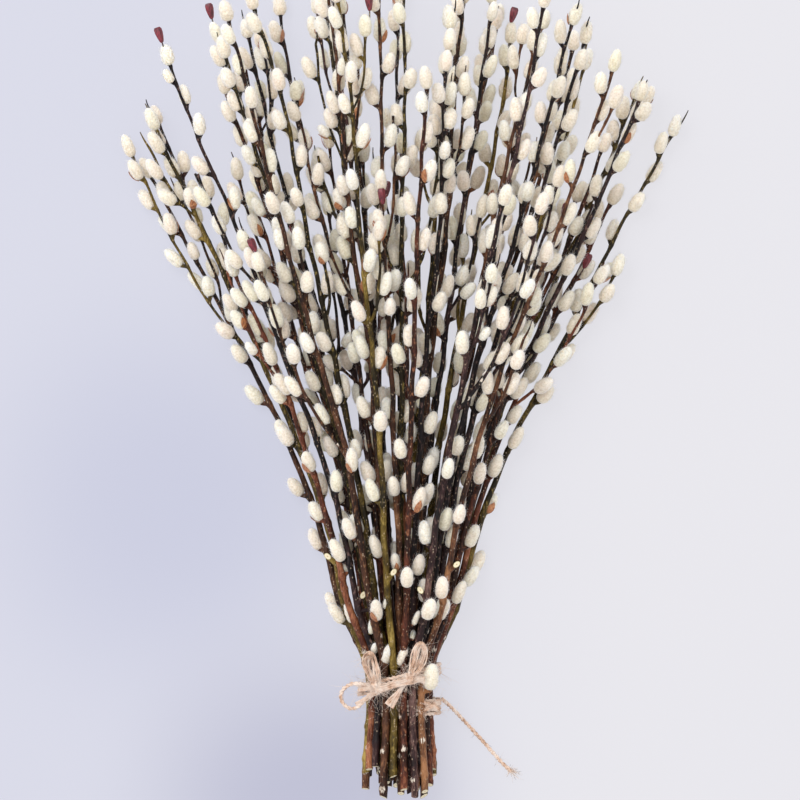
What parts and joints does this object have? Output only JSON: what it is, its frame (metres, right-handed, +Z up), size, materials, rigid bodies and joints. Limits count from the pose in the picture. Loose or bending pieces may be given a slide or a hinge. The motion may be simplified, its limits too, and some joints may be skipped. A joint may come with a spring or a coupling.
{
  "type": "tied bunch of pussy willow branches",
  "caption": "Bunch of cut pussy willow branches with furry catkins, fanned out and tied near the cut ends with jute twine in a small bow, lying on its side",
  "frame": {"origin": "middle of the bunch seen from above, at the height of the surface that it lies on", "axes": "+Y along the bunch from the cut ends to the tips, +X to the right, +Z up from the surface"},
  "size_m": [0.4235, 0.6214, 0.1524],
  "materials": {
    "dark_purple_bark": "satin",
    "red_brown_bark": "satin",
    "olive_bark": "satin",
    "brown_bark": "satin",
    "jute_twine": "matte",
    "catkin_fur": "matte"
  },
  "bodies": {
    "root": {"branch_01": "dark_purple_bark", "branch_02": "red_brown_bark", "branch_03": "olive_bark", "branch_04": "brown_bark", "branch_05": "dark_purple_bark", "branch_06": "red_brown_bark", "branch_07": "olive_bark", "branch_08": "brown_bark", "branch_09": "dark_purple_bark", "branch_10": "red_brown_bark", "branch_11": "olive_bark", "branch_12": "brown_bark", "branch_13": "dark_purple_bark", "branch_14": "red_brown_bark", "branch_15": "olive_bark", "branch_16": "brown_bark", "branch_17": "dark_purple_bark", "branch_18": "red_brown_bark", "branch_19": "olive_bark", "branch_20": "brown_bark", "branch_21": "dark_purple_bark", "branch_22": "red_brown_bark", "branch_23": "olive_bark", "branch_24": "brown_bark", "branch_25": "dark_purple_bark", "branch_26": "red_brown_bark", "branch_27": "olive_bark", "branch_28": "brown_bark", "branch_29": "dark_purple_bark", "branch_30": "red_brown_bark", "branch_31": "olive_bark", "branch_32": "brown_bark", "branch_33": "dark_purple_bark", "branch_34": "red_brown_bark", "branch_35": "olive_bark", "branch_36": "brown_bark", "branch_37": "dark_purple_bark", "branch_38": "red_brown_bark", "branch_39": "olive_bark", "branch_40": "brown_bark", "branch_41": "dark_purple_bark", "branch_42": "red_brown_bark", "branch_43": "olive_bark", "branch_44": "brown_bark", "branch_45": "dark_purple_bark", "twine_lower_band": "jute_twine", "twine_upper_band": "jute_twine", "twine_bow": "jute_twine", "twine_tail": "jute_twine"}
  },
  "joints": []
}
